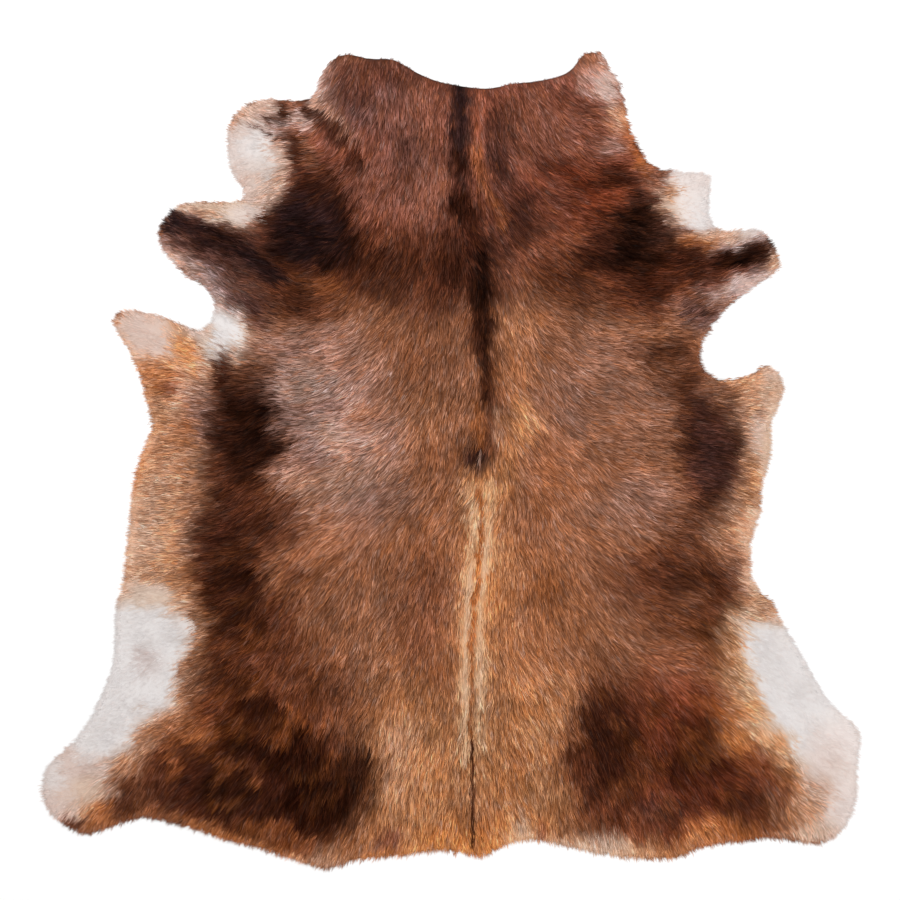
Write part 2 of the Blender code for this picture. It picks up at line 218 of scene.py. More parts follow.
# name, x, y, radiusX, radiusY, turn in degrees, colour, strength, softness
coatPatches = [
    ("lower back", 470, 690, 130, 170, 0, "lightBrown", 0.6, 0.5),
    ("golden low left", 414, 772, 56, 84, 0, "golden", 0.85, 0.6),
    ("golden pale left", 402, 755, 22, 34, 0, "tan", 0.5, 0.7),
    ("golden low right", 525, 760, 50, 90, 0, "golden", 0.85, 0.6),
    ("golden beside the spine", 503, 560, 16, 110, 0, "golden", 0.5, 0.8),
    ("brown left of the spine", 424, 345, 30, 50, 0, "umber", 0.2, 0.8),
    ("light left of the spine", 420, 408, 26, 30, 0, "lightBrown", 0.6, 0.8),
    ("brown left low", 424, 600, 26, 50, 0, "rust", 0.35, 0.8),
    # the ash patches are a painted sheen, where the hair on the flank catches the light, laid in as paler,
    # greyer hair
    ("ash left", 330, 405, 66, 70, 0, "sheenAshBrown", 0.85, 0.5),
    ("ash left low", 345, 482, 62, 56, 10, "sheenAshBrown", 0.75, 0.5),
    ("ash pale left", 318, 384, 38, 16, 0, "sheenAshPale", 0.55, 0.7),
    ("ash pale mid", 338, 432, 32, 14, 0, "sheenAshPale", 0.5, 0.8),
    ("ash pale low", 348, 478, 36, 24, 20, "tan", 0.55, 0.8),
    ("ginger among ash", 370, 406, 12, 10, 0, "ginger", 0.35, 0.8),
    ("brown among ash", 318, 463, 14, 10, 0, "umber", 0.25, 0.8),
    ("warm left", 345, 585, 62, 62, 0, "warmBrown", 0.5, 0.6),
    ("dark left low", 338, 688, 30, 34, 0, "umber", 0.55, 0.8),
    ("dark left blotch", 288, 525, 20, 20, 0, "umber", 0.6, 0.8),
    ("dark left blotch low", 302, 567, 13, 10, 0, "umber", 0.5, 0.8),
    # a painted sheen on the right flank as well, pinker
    ("ash right", 600, 390, 66, 60, -10, "sheenAshBrown", 0.4, 0.6),
    ("pale right", 624, 502, 40, 26, 0, "pinkBrown", 0.55, 0.7),
    ("dark right blotch", 645, 350, 28, 12, 0, "umber", 0.55, 0.8),
    ("dark right low blotch", 640, 575, 34, 26, 0, "umber", 0.5, 0.8),
    ("golden right of the stripe", 514, 348, 18, 44, 0, "golden", 0.3, 0.8),
    ("blond swirl", 516, 416, 17, 26, 0, "golden", 0.8, 0.7),
    ("blond beside the whorl", 502, 462, 9, 26, -10, "golden", 0.6, 0.8),
    ("ginger right", 540, 600, 34, 44, 0, "ginger", 0.3, 0.8),

    # neck
    ("neck", 470, 140, 190, 105, 0, "redBrown", 1.0, 0.3),
    ("neck fall", 440, 236, 100, 56, 0, "redBrown", 0.7, 0.6),
    ("neck top left", 372, 88, 44, 30, 0, "purpleBrown", 0.5, 0.7),
    ("neck top left purple", 372, 104, 32, 14, 15, "purpleGrey", 0.4, 0.8),
    ("neck top warm", 424, 96, 22, 34, 0, "roseBrown", 0.6, 0.7),
    ("neck light left", 386, 174, 32, 34, 0, "roseBrown", 0.45, 0.7),
    ("neck light mid", 428, 180, 15, 44, 0, "roseBrown", 0.75, 0.7),
    ("neck purple mid", 410, 136, 24, 20, 0, "purpleGrey", 0.25, 0.8),
    ("neck purple low", 404, 140, 20, 26, 0, "purpleBrown", 0.3, 0.8),
    ("neck light right", 526, 116, 24, 38, 0, "roseBrown", 0.65, 0.7),
    ("neck right rust", 570, 194, 52, 40, 0, "rust", 0.9, 0.6),
    ("neck right light", 566, 128, 24, 22, 0, "roseBrown", 0.35, 0.8),
    ("neck right low light", 548, 190, 14, 24, 30, "redBrown", 0.5, 0.7),
    ("neck low dark", 500, 140, 15, 40, 0, "purpleBrown", 0.7, 0.6),
    ("neck low purple", 520, 215, 26, 34, -25, "purpleBrown", 0.8, 0.7),
    ("neck dark edge", 601, 176, 18, 10, 0, "darkBrown", 0.7, 0.7),
    ("neck left corner", 319, 84, 9, 26, 0, "pinkPale", 0.75, 0.6),
    ("neck left pink", 330, 92, 12, 26, 0, "pinkBrown", 0.5, 0.7),
    ("neck left pale", 340, 116, 24, 7, -42, "tan", 0.55, 0.7),
    ("neck right corner", 599, 80, 18, 28, 10, "pinkBrown", 0.9, 0.6),
    ("neck right pale", 606, 86, 11, 20, 0, "pinkPale", 0.7, 0.7),
    ("neck right tan", 612, 118, 13, 13, 0, "tan", 0.75, 0.6),
    ("neck right pink", 606, 143, 13, 11, 0, "pinkBrown", 0.7, 0.6),
    ("neck right tuft", 636, 156, 14, 13, -30, "ginger", 0.75, 0.6),
    ("neck right ginger", 628, 124, 9, 18, 0, "ginger", 0.6, 0.7),
    ("neck right edge dark", 636, 142, 6, 9, 0, "darkBrown", 0.7, 0.7),

    # left cheek
    ("cheek", 262, 150, 42, 54, 0, "pinkPale", 1.0, 0.3),
    ("cheek rim", 246, 110, 34, 14, 10, "fawn", 0.75, 0.7),
    ("cheek white", 256, 154, 20, 25, 0, "greyWhite", 0.9, 0.7),
    ("cheek low", 275, 186, 24, 20, 0, "fawn", 0.65, 0.9),
    ("cheek low tan", 288, 166, 13, 30, 0, "fawn", 0.85, 0.7),
    ("cheek root", 302, 168, 10, 34, 0, "roseBrown", 0.75, 0.7),
    ("cheek dark spot", 277, 121, 11, 6, 0, "darkBrown", 0.75, 0.8),
    ("cheek dark streak", 288, 109, 6, 15, 20, "darkBrown", 0.85, 0.7),
    ("cheek pink", 309, 120, 10, 8, -30, "pinkPale", 0.7, 0.8),
    ("cheek fold brown", 306, 140, 24, 10, -15, "redBrown", 0.65, 0.8),
    ("cheek low dark", 302, 156, 8, 18, 25, "darkBrown", 0.8, 0.7),
    ("cheek lower dark", 314, 178, 16, 20, 0, "darkBrown", 0.8, 0.7),
    ("cheek light strip", 318, 152, 7, 15, 35, "lightBrown", 0.6, 0.8),

    # left shoulder and foreleg
    ("left leg", 215, 252, 66, 48, -14, "pinkBrown", 1.0, 0.25),
    ("left leg purple", 246, 280, 42, 40, -20, "purpleGrey", 0.9, 0.5),
    ("left leg cream", 222, 210, 50, 13, 3, "cream", 0.95, 0.4),
    ("left leg cream top", 248, 213, 20, 10, 0, "paleCream", 0.8, 0.6),
    ("left leg tan strokes", 208, 214, 14, 5, 0, "tan", 0.7, 0.7),
    ("left shoulder fall", 340, 254, 84, 42, -8, "umber", 0.85, 0.7),
    ("left shoulder fall in", 422, 262, 44, 30, 10, "umber", 0.65, 0.8),
    ("left shoulder", 322, 230, 50, 44, 0, "darkBrown", 0.95, 0.4),
    ("left shoulder core", 314, 228, 38, 36, 0, "inkBrown", 0.9, 0.6),
    ("left shoulder low", 300, 284, 40, 24, -25, "umber", 0.8, 0.6),
    ("left shoulder warm", 330, 286, 30, 9, -5, "ginger", 0.35, 0.9),
    ("left shoulder down", 292, 300, 40, 16, -12, "umber", 0.6, 0.8),
    ("left leg tip ginger", 160, 230, 6, 10, 0, "ginger", 0.8, 0.7),
    ("left leg pink", 176, 254, 18, 14, -35, "pinkGrey", 0.85, 0.6),
    ("left leg pink mid", 206, 280, 22, 14, -40, "pinkGrey", 0.6, 0.7),
    ("left leg over dark", 214, 236, 50, 15, -14, "purpleBrown", 0.95, 0.6),
    ("left leg under dark", 230, 258, 40, 12, -28, "purpleBrown", 0.75, 0.7),
    ("left leg root brown", 272, 238, 12, 14, 0, "redBrown", 0.6, 0.7),
    ("left leg spot", 258, 314, 18, 15, 0, "purpleBrown", 0.75, 0.7),
    # painted sheen at the foreleg's root, laid in as greyer hair
    ("left leg root ash", 300, 338, 50, 16, 10, "sheenAshBrown", 0.6, 0.7),
    ("left leg grey edge", 222, 304, 9, 14, 0, "pinkGrey", 0.7, 0.6),

    # right breast flap, shoulder and foreleg
    ("right leg", 730, 262, 54, 38, 12, "pinkGrey", 1.0, 0.25),
    ("right shoulder fall", 612, 264, 80, 44, 6, "umber", 0.95, 0.7),
    ("right shoulder fall in", 548, 244, 44, 34, -20, "umber", 0.6, 0.8),
    ("right shoulder", 636, 240, 58, 40, 0, "darkBrown", 0.95, 0.45),
    ("right shoulder core", 644, 236, 38, 30, 0, "nearBlack", 0.95, 0.5),
    ("right shoulder down", 650, 288, 44, 22, -10, "darkBrown", 0.75, 0.7),
    ("right shoulder purple", 640, 199, 20, 9, 0, "purpleBrown", 0.7, 0.7),
    ("right flap border", 680, 204, 42, 44, 0, "roseBrown", 0.7, 0.5),
    ("right flap", 688, 198, 28, 36, 0, "paleCream", 1.0, 0.3),
    ("right flap root", 660, 206, 13, 22, 20, "cream", 0.7, 0.7),
    ("right flap white", 700, 214, 14, 18, 0, "greyWhite", 0.7, 0.6),
    ("right flap ginger", 667, 193, 8, 9, 0, "ginger", 0.55, 0.7),
    ("right leg cream", 735, 233, 32, 8, 3, "paleCream", 0.9, 0.5),
    ("right leg tan border", 706, 238, 32, 7, 0, "tan", 0.85, 0.6),
    ("right leg ginger", 690, 246, 20, 8, 0, "ginger", 0.7, 0.6),
    ("right leg root", 694, 270, 30, 18, 0, "darkBrown", 0.9, 0.5),
    ("right leg dark", 734, 261, 38, 13, 10, "darkBrown", 0.95, 0.5),
    ("right leg dark core", 738, 260, 24, 8, 10, "nearBlack", 0.8, 0.6),
    ("right leg tip", 771, 263, 11, 11, 0, "tan", 0.85, 0.5),
    ("right leg tip dark", 770, 243, 5, 7, 0, "darkBrown", 0.7, 0.7),
    ("right leg under rust", 716, 279, 22, 7, 22, "redBrown", 0.6, 0.7),
    ("right leg low pink", 738, 291, 24, 10, 25, "pinkGrey", 0.9, 0.5),
    ("right leg pit", 698, 318, 28, 22, 0, "purpleGrey", 0.9, 0.6),
    ("right leg pit dark", 690, 316, 18, 14, 0, "purpleBrown", 0.5, 0.7),

    # left flank
    ("left flank", 165, 470, 62, 170, 0, "tan", 1.0, 0.25),
    ("left flank pink", 160, 535, 36, 50, 0, "cream", 0.45, 0.7),
    ("left flank brown", 182, 480, 30, 70, 0, "lightBrown", 0.45, 0.7),
    ("left lobe", 148, 334, 38, 24, -25, "pinkPale", 0.95, 0.5),
    ("left lobe tip", 115, 319, 6, 8, 0, "ginger", 0.7, 0.6),
    ("left lobe edge", 134, 352, 8, 20, 25, "tan", 0.7, 0.7),
    ("left lobe orange", 186, 350, 9, 27, 30, "orange", 0.65, 0.7),
    ("left lobe inner", 204, 339, 19, 8, -27, "pinkPale", 0.85, 0.6),
    ("left lobe low", 158, 380, 20, 20, 30, "ginger", 0.7, 0.7),
    ("left lobe red", 177, 388, 13, 8, 0, "redBrown", 0.6, 0.7),
    ("left flank orange", 196, 428, 10, 22, 0, "ginger", 0.6, 0.7),
    ("left flank rim", 141, 464, 6, 26, 0, "ginger", 0.55, 0.7),
    ("left white halo", 228, 338, 26, 28, 30, "cream", 0.9, 0.5),
    ("left white corner", 224, 328, 17, 27, 30, "greyWhite", 1.0, 0.4),
    ("left flank purple", 214, 420, 22, 34, 0, "purpleGrey", 0.7, 0.7),
    ("left flank dark", 250, 430, 34, 62, 0, "darkBrown", 0.92, 0.5),
    ("left flank dark tip", 229, 374, 9, 20, 0, "darkBrown", 0.9, 0.6),
    ("left flank dark core", 255, 424, 24, 34, 0, "nearBlack", 0.75, 0.8),
    ("left flank dark mid", 246, 502, 38, 44, 0, "umber", 0.95, 0.6),
    ("left flank dark low", 232, 570, 36, 68, 6, "darkBrown", 0.9, 0.5),
    ("left flank core", 218, 620, 26, 60, 8, "darkBrown", 0.6, 0.7),
    ("left flank break", 275, 612, 26, 26, 30, "umber", 0.75, 0.7),

    # right flank
    ("right flank", 738, 470, 52, 140, 0, "tan", 0.9, 0.3),
    ("right lobe", 762, 385, 26, 28, 0, "tan", 0.9, 0.5),
    ("right lobe cream", 776, 376, 14, 12, 0, "pinkPale", 0.6, 0.6),
    ("right edge cream", 773, 470, 16, 90, 0, "cream", 0.9, 0.5),
    ("right edge low cream", 755, 560, 14, 46, -10, "cream", 0.8, 0.5),
    ("right pink streak", 752, 436, 10, 18, 0, "pinkPale", 0.75, 0.6),
    ("right golden", 744, 478, 11, 26, 0, "golden", 0.6, 0.7),
    ("right flank dark top", 678, 372, 30, 24, 0, "umber", 0.55, 0.8),
    ("right flank dark", 696, 448, 34, 66, 0, "umber", 0.95, 0.45),
    ("right flank core", 700, 446, 24, 50, 0, "purpleBrown", 0.85, 0.8),
    ("right flank purple", 696, 470, 18, 26, 0, "purpleBrown", 0.6, 0.7),
    ("right flank low", 680, 572, 46, 62, -8, "umber", 0.8, 0.6),
    ("right flank low core", 714, 604, 22, 42, 0, "darkBrown", 0.75, 0.6),
    ("right flank low light", 682, 598, 20, 16, 0, "warmBrown", 0.4, 0.8),

    # left hindquarter
    ("left hind", 250, 764, 108, 80, 0, "darkBrown", 0.95, 0.4),
    ("left hind top", 252, 666, 62, 62, 0, "umber", 0.9, 0.6),
    ("left hind core", 314, 782, 48, 48, 0, "rustBlack", 0.9, 0.6),
    ("left hind core up", 262, 726, 48, 30, -10, "rustBlack", 0.75, 0.7),
    ("left hind core left", 232, 790, 24, 22, 0, "nearBlack", 0.5, 0.7),
    ("left hind ginger", 194, 730, 28, 15, 15, "ginger", 0.45, 0.8),
    ("left hind orange", 204, 730, 13, 7, 15, "orange", 0.35, 0.8),
    ("left hind ginger dark", 180, 746, 20, 6, 25, "darkBrown", 0.6, 0.7),
    ("left hind ginger low", 170, 776, 13, 16, 0, "umber", 0.7, 0.7),
    ("left hind ginger foot", 264, 822, 22, 10, -20, "ginger", 0.6, 0.7),
    ("left hind rim", 235, 832, 60, 8, -18, "orange", 0.55, 0.7),
    ("left hind rim right", 326, 856, 36, 13, 0, "tan", 0.7, 0.6),
    ("left hind border", 138, 752, 34, 10, 38, "tan", 0.5, 0.7),
    ("left hind border umber", 156, 762, 28, 12, 38, "umber", 0.6, 0.8),
    ("left belly border dark", 152, 658, 58, 94, -14, "ginger", 0.5, 0.5),
    ("left belly border", 146, 657, 54, 88, -14, "tan", 0.9, 0.4),
    ("left belly low border", 101, 730, 53, 36, 50, "tan", 0.9, 0.4),
    ("left belly", 140, 655, 42, 76, -14, "greyWhite", 1.0, 0.25),
    ("left belly low", 98, 728, 48, 30, 50, "greyWhite", 1.0, 0.25),
    ("left belly rim", 96, 680, 32, 74, -18, "greyWhite", 1.0, 0.25),
    ("left belly mid", 128, 716, 36, 20, 45, "greyWhite", 0.9, 0.35),
    ("left belly top", 150, 597, 26, 13, 0, "cream", 0.75, 0.6),
    ("left belly smudge", 148, 660, 11, 10, 45, "pinkGrey", 0.45, 0.9),
    ("left foot", 66, 782, 46, 36, 0, "pinkPale", 1.0, 0.3),
    ("left foot white", 56, 776, 14, 18, 0, "greyWhite", 0.7, 0.5),
    ("left foot cream", 96, 790, 20, 16, 20, "cream", 0.7, 0.6),
    ("left foot ginger", 104, 812, 26, 14, 10, "ginger", 0.7, 0.7),
    ("left foot dark", 74, 820, 10, 7, 0, "umber", 0.85, 0.6),
    ("left foot dark up", 128, 796, 10, 20, 0, "umber", 0.75, 0.7),

    # right hindquarter
    ("right hind", 676, 754, 98, 88, 0, "rust", 0.92, 0.4),
    ("right hind dark", 612, 750, 44, 66, 0, "umber", 0.7, 0.6),
    ("right hind core", 706, 752, 42, 36, 0, "rustBlack", 0.8, 0.7),
    ("right hind core left", 606, 742, 26, 52, 0, "darkBrown", 0.85, 0.7),
    ("right hind core low", 662, 804, 26, 14, 0, "purpleBrown", 0.7, 0.7),
    ("right hind core out", 745, 806, 30, 18, 0, "darkBrown", 0.6, 0.7),
    ("right hind ginger", 716, 706, 26, 14, -20, "ginger", 0.75, 0.7),
    ("right hind orange", 730, 732, 22, 18, -40, "orange", 0.85, 0.7),
    ("right hind stripe", 752, 724, 20, 6, -50, "umber", 0.6, 0.7),
    ("right hind low ginger", 718, 824, 40, 12, 0, "orange", 0.55, 0.7),
    ("right hind dark edge", 782, 760, 22, 14, -20, "umber", 0.75, 0.6),
    ("right hind rim", 650, 843, 70, 14, 5, "golden", 0.75, 0.6),
    ("right belly border dark", 780, 694, 54, 98, 32, "ginger", 0.65, 0.5),
    ("right belly border", 783, 692, 50, 92, 32, "paleGold", 0.9, 0.4),
    ("right belly border warm", 738, 650, 8, 34, 15, "orange", 0.4, 0.7),
    ("right belly", 788, 689, 37, 80, 32, "greyWhite", 1.0, 0.25),
    ("right belly low", 824, 730, 46, 30, -40, "greyWhite", 1.0, 0.25),
    ("right belly rim", 810, 668, 32, 58, 32, "greyWhite", 1.0, 0.3),
    ("right belly top", 760, 614, 16, 9, 0, "tan", 0.7, 0.6),
    ("right foot", 842, 784, 42, 60, 0, "paleCream", 0.95, 0.35),
    ("right foot pink", 822, 788, 18, 38, 0, "pinkPale", 0.6, 0.8),
    ("right foot tan", 800, 802, 26, 28, 0, "tan", 0.8, 0.6),
    ("right foot low", 806, 830, 26, 10, 0, "cream", 0.7, 0.6),

    # rump
    ("rump rim", 470, 838, 54, 24, 0, "orange", 0.9, 0.6),
    ("rump rim left", 400, 852, 50, 12, 0, "orange", 0.5, 0.7),
    ("rump dark", 392, 830, 11, 16, 20, "redBrown", 0.7, 0.6),
    ("rump cream", 522, 826, 16, 14, 0, "cream", 0.6, 0.7),
    ("rump cream right", 598, 842, 42, 13, 0, "cream", 0.75, 0.7),
    ("rump ginger", 512, 758, 14, 20, 0, "ginger", 0.4, 0.8),
    ("rump dark fleck", 541, 824, 5, 14, 0, "redBrown", 0.6, 0.8),

    # along the spine
    ("beside the stripe", 452, 268, 28, 30, 0, "darkBrown", 0.7, 0.7),
    ("spine whorl", 481, 456, 11, 16, 0, "purpleBrown", 0.95, 0.7),
    ("spine whorl core", 482, 454, 7, 9, 0, "inkBrown", 0.75, 0.8),
]

# name, half width, colour, strength, softness, places along it
coatStreaks = [
    ("stripe", 10, "purpleBrown", 0.95, 0.7, ((460, 84), (460, 130), (460, 200))),
    ("stripe core", 6, "inkBrown", 0.8, 0.8, ((459, 86), (459, 120), (458, 160))),
    ("stripe mid", 7, "darkBrown", 0.7, 0.7, ((458, 150), (460, 200))),
    ("stripe low", 12, "darkBrown", 0.8, 0.9, ((460, 196), (470, 232), (480, 262), (482, 300), (484, 335))),
    ("stripe low core", 5, "nearBlack", 0.85, 0.8, ((478, 250), (483, 300), (484, 345), (485, 392))),
    ("stripe beside", 9, "umber", 0.55, 0.8, ((483, 300), (485, 350), (486, 440))),
    ("stripe ginger", 4, "ginger", 0.4, 0.8, ((474, 140), (478, 160), (484, 180), (495, 206), (500, 222))),
    ("ginger above the whorl", 5, "ginger", 0.7, 0.8, ((477, 398), (480, 438))),
    ("pale beside the whorl", 3, "tan", 0.6, 0.9, ((494, 402), (496, 432))),
    ("whorl tuft", 1.0, "pinkGrey", 0.8, 0.6, ((481, 446), (480, 459))),
    ("golden band", 18, "golden", 0.85, 0.8, ((483, 478), (481, 545), (476, 610), (474, 700), (472, 760))),
    ("cream left", 5.5, "paleGold", 0.8, 0.8, ((473, 482), (472, 545), (471, 570), (468, 592), (466, 612),
                                              (464, 640), (465, 720), (466, 752))),
    ("cream right", 5.5, "paleGold", 0.8, 0.8, ((492, 480), (489, 520), (487, 548), (484, 572), (482, 592),
                                                (481, 640), (480, 700), (478, 740))),
    ("cream left light", 2, "warmCream", 0.7, 0.9, ((472, 560), (467, 606), (465, 640), (466, 720))),
    ("cream right light", 2, "warmCream", 0.6, 0.9, ((488, 530), (482, 592), (480, 640), (479, 700))),
    ("parting", 2.8, "ginger", 0.95, 0.7, ((481, 484), (480, 545), (478, 572), (475, 600), (473, 640))),
    ("parting mid", 1.4, "ginger", 0.8, 0.8, ((473, 636), (471, 700), (471, 752))),
    ("parting low", 1.4, "darkBrown", 0.85, 0.7, ((471, 730), (472, 760), (472, 842))),
    # a dark line along the fold of the cheek: painted shade in the crease
    ("cheek crease shade", 1.6, "darkBrown", 0.75, 0.7, ((256, 129), (265, 132), (276, 136), (297, 141))),
    ("cheek band", 7, "darkBrown", 0.75, 0.7, ((312, 106), (330, 118), (350, 136), (364, 158))),
    ("cheek band low", 6, "umber", 0.6, 0.8, ((296, 138), (318, 152), (334, 170), (346, 192))),
    ("left leg core", 9, "inkBrown", 0.95, 0.7, ((172, 219), (193, 230), (216, 239), (240, 248), (260, 260),
                                                 (284, 278))),
]

# Patches wander and fray at their borders, and the dark ones are mottled, with ginger embers on the hinds
coatChart = {"wander": 9.5, "wanderScale": 28.0, "fray": 6.0, "frayScale": 8.0, "looseRadius": 18,
             "streakWander": 0.2, "looseStreak": 8, "dark": (0.02, 0.10), "darkMottle": 1.2,
             "ember": 0.2, "emberScale": 15.0, "emberRange": (-0.1, 0.9), "emberRows": (460, 640)}
# brindle: (scale in pixels, lighter and darker, redder and greyer)
coatBrindle = [(7, 0.08, 0.05), (13, 0.15, 0.07), (26, 0.17, 0.09), (60, 0.12, 0.06)]
brindleGain = {"level": 1.3, "greyer": 0.5, "redAndGreen": 0.3, "blue": 1.2}
whiteHair = {"range": (0.25, 0.58), "calm": 0.92}


def calmness(colour):
    # 1 on dark and brown hair, near 0 on white hair, which shows hardly any strokes
    return 1 - whiteHair["calm"] * softStep(*whiteHair["range"], brightness(colour))


def distanceToPath(u, v, places):
    nearest = np.full(u.shape, 1e9)
    for (startX, startY), (endX, endY) in zip(places[:-1], places[1:]):
        runX, runY = endX - startX, endY - startY
        share = np.clip(((u - startX) * runX + (v - startY) * runY) / (runX ** 2 + runY ** 2), 0, 1)
        nearest = np.minimum(nearest, np.hypot(u - startX - share * runX, v - startY - share * runY))
    return nearest


def drift(u, v, name):
    # how far the chart is pushed about at each place, in pixels
    return [coatChart[name] * valueNoise(u, v, coatChart[name + "Scale"], name, axis) for axis in (0, 1)]


def coatColour(x, y):
    # the coat's own colour at each place, in linear light
    u, v = toPhoto(x, y)
    wideU, wideV = drift(u, v, "wander")
    fineU, fineV = drift(u, v, "fray")
    palette = {name: hexParts(code) for name, code in coatColours.items()}
    colour = np.tile(palette[baseColour], (len(u), 1))
    for name, cx, cy, rx, ry, turn, shade, strength, soft in coatPatches:
        c, s = math.cos(math.radians(turn)), math.sin(math.radians(turn))
        loose = min(1.0, min(rx, ry) / coatChart["looseRadius"])
        across, up = u + (wideU + fineU) * loose - cx, cy - v - (wideV + fineV) * loose
        far = np.hypot((across * c + up * s) / rx, (up * c - across * s) / ry)
        share = strength * (1 - softStep(1 - soft, 1 + soft, far))
        colour += (palette[shade] - colour) * share[:, None]
    less = coatChart["streakWander"]
    for name, half, shade, strength, soft, places in coatStreaks:
        loose = min(1.0, half / coatChart["looseStreak"])
        near = distanceToPath(u + (less * wideU + fineU) * loose, v + (less * wideV + fineV) * loose, places)
        share = strength * (1 - softStep(half * (1 - soft), half * (1 + soft), near))
        colour += (palette[shade] - colour) * share[:, None]
    return brindled(toLinear(colour), u + wideU + fineU, v + wideV + fineV, v)


def brindled(colour, bentU, bentV, v):
    # no brown hide is even: blotches lighter and darker, redder and greyer, and hardly any on white
    level, hue = np.zeros(len(v)), np.zeros(len(v))
    for number, (scale, lighter, redder) in enumerate(coatBrindle):
        level += lighter * valueNoise(bentU, bentV, scale, "lighter", number)
        hue += redder * valueNoise(bentU, bentV, scale, "redder", number)
    calm = calmness(colour)
    dark = 1 - softStep(*coatChart["dark"], brightness(colour))
    level *= 1 + coatChart["darkMottle"] * dark
    # ginger shines through the dark of the hindquarters in blotches
    ember = softStep(*coatChart["emberRange"], valueNoise(bentU, bentV, coatChart["emberScale"], "ember"))
    ember *= coatChart["ember"] * dark * softStep(*coatChart["emberRows"], v)
    colour += (linearColour(coatColours["ginger"]) - colour) * ember[:, None]
    hue = np.maximum(hue, brindleGain["greyer"] * hue) * calm
    shift, blue = brindleGain["redAndGreen"] * hue, brindleGain["blue"] * hue
    tint = np.stack([1 + shift, 1 - shift, 1 - blue], axis=1)
    return colour * np.exp(brindleGain["level"] * level * calm)[:, None] * tint


# The way the hair lies: x, y in the photo's pixels, and degrees from photo right, up being 90
hairFlow = [
    (330, 75, -110), (360, 85, -98), (400, 100, -92), (460, 100, -90), (460, 180, -90), (500, 110, -80),
    (520, 150, -60), (540, 100, -60), (570, 80, -50), (600, 80, -35), (600, 110, -20), (605, 150, -10),
    (570, 150, -40), (560, 190, -15), (530, 200, -50), (500, 230, -60), (545, 235, -35),
    (318, 90, -135), (340, 130, -120), (370, 130, -100), (400, 160, -93), (297, 117, 172), (300, 150, 175),
    (265, 115, 165), (235, 120, 170), (240, 160, 190), (260, 190, 215), (280, 175, 200), (310, 170, 188),
    (330, 200, 212), (350, 210, 228), (370, 200, 248), (400, 200, 262), (430, 230, -92),
    (250, 212, 170), (200, 212, 168), (170, 220, 165), (200, 240, 164), (250, 258, 160), (178, 256, 168),
    (230, 285, 155), (300, 225, 182), (330, 230, 188), (350, 245, 225), (353, 256, 250), (365, 277, 236),
    (325, 293, 206), (376, 318, 222), (393, 289, 245), (416, 335, 255), (348, 335, 205), (292, 290, 155),
    (256, 300, 152), (261, 323, 166), (225, 325, 150), (150, 330, 165), (125, 325, 160), (185, 350, 160),
    (160, 390, 185), (273, 358, 180), (307, 363, 182), (296, 386, 184), (353, 358, 206), (365, 386, 214),
    (399, 381, 235), (422, 369, 250), (460, 330, -92), (460, 450, 265), (300, 420, 184), (350, 440, 190),
    (360, 470, 215), (400, 480, 225), (440, 500, 245), (400, 560, 245), (450, 560, 262), (150, 420, 182),
    (150, 480, 180), (150, 550, 180), (200, 420, 180), (200, 520, 182), (265, 420, 205), (265, 500, 210),
    (320, 520, 215), (233, 606, 215), (205, 617, 195), (182, 606, 186), (268, 612, 226), (296, 617, 246),
    (340, 620, 245), (222, 652, 224), (199, 635, 200), (150, 640, 190), (120, 690, 205), (193, 703, 204),
    (210, 692, 214), (256, 686, 235), (291, 675, 245), (170, 726, 212), (279, 721, 240), (330, 700, 250),
    (100, 760, 200), (60, 780, 190), (80, 820, 235), (130, 800, 240), (150, 780, 240), (200, 760, 216),
    (230, 780, 228), (300, 820, 245), (320, 760, 258), (250, 840, 240), (320, 860, 250), (400, 800, 258),
    (400, 845, 246), (440, 780, 266), (440, 845, 258), (470, 700, -90), (472, 850, -90), (500, 780, -80),
    (495, 850, -78), (540, 800, -76), (550, 840, -80), (490, 620, -88), (530, 620, -80), (500, 520, -86),
    (560, 640, -65), (580, 640, -60), (577, 663, -62), (589, 709, -74), (600, 800, -72), (620, 845, -70),
    (560, 470, -45), (540, 400, -55), (510, 330, -75), (560, 320, -35), (600, 380, -20), (620, 440, -22),
    (600, 520, -45), (640, 560, -25), (640, 594, -30), (629, 635, -40), (663, 635, -26), (675, 589, -28),
    (709, 577, -30), (703, 652, -34), (629, 721, -60), (663, 703, -50), (698, 732, -55), (721, 698, -26),
    (700, 800, -52), (680, 850, -62), (740, 760, -42), (745, 820, -60), (790, 690, -40), (820, 740, -35),
    (840, 790, -30), (820, 840, -60), (760, 625, -20), (735, 660, -28), (640, 230, -4), (610, 250, -14),
    (680, 215, -5), (700, 190, 10), (690, 250, 5), (740, 235, 14), (770, 245, 15), (740, 262, 16),
    (700, 310, 22), (755, 280, 18), (650, 320, -5), (690, 360, -6), (700, 420, -2), (760, 385, 5),
    (775, 400, -8), (760, 450, -10), (700, 500, -18), (760, 520, -14), (755, 570, -18), (650, 470, -18),
]
flowEase = {"spread": 16.0, "swirl": 12.0, "swirlScale": 26.0, "ripple": 7.0, "rippleScale": 9.0}


def hairAngle(x, y):
    # each arrow counts by how near it is, and soft swirls keep the hair from lying like a comb's work
    u, v = toPhoto(x, y)
    alongX, alongY = np.zeros(len(u)), np.zeros(len(u))
    for arrowX, arrowY, degrees in hairFlow:
        weight = 1 / ((u - arrowX) ** 2 + (v - arrowY) ** 2 + flowEase["spread"] ** 2) ** 2
        alongX += weight * math.cos(math.radians(degrees))
        alongY += weight * math.sin(math.radians(degrees))
    swirl = flowEase["swirl"] * valueNoise(u, v, flowEase["swirlScale"], "swirl")
    swirl += flowEase["ripple"] * valueNoise(u, v, flowEase["rippleScale"], "ripple")
    return np.arctan2(alongY, alongX) + np.radians(swirl)


